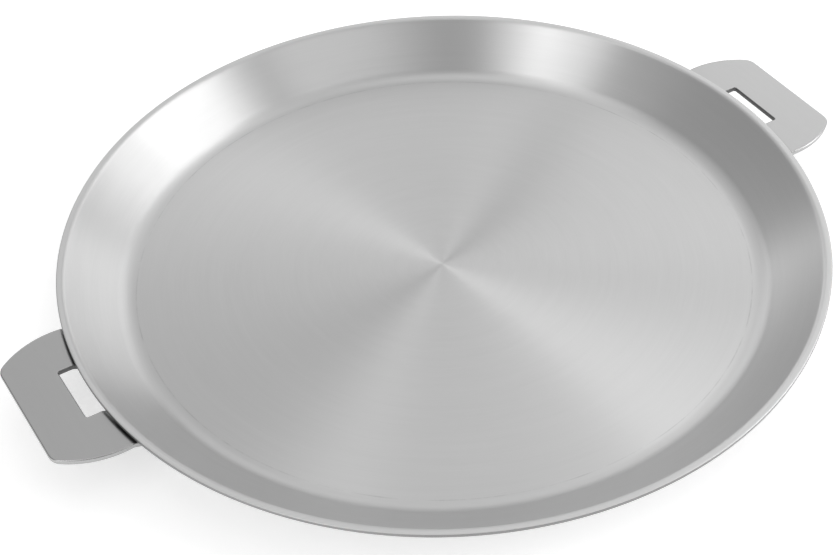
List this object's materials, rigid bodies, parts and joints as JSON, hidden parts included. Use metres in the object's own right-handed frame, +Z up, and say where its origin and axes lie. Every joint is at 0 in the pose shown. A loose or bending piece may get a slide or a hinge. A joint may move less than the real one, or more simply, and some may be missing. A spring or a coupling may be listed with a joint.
{
  "type": "crepe pan",
  "caption": "Shallow round pan of brushed steel with a flat floor, a sloped low wall, a thin turned-out lip and a slotted flat lug handle on each side.",
  "frame": {"origin": "centre of the base on the hob", "axes": "+Z up along the pan's axis, +X through the middle of the right lug handle"},
  "size_m": [0.3492, 0.3, 0.0228],
  "materials": {
    "brushed_pan_steel": "turned circular brushing",
    "disc_aluminium": "as rolled",
    "base_steel": "circular ground",
    "lug_steel": "straight satin grain with tumbled edges"
  },
  "bodies": {
    "root": {"pan_body": "brushed_pan_steel", "heat_disc": "disc_aluminium", "base_cup": "base_steel", "right_handle": "lug_steel", "left_handle": "lug_steel"}
  },
  "joints": []
}
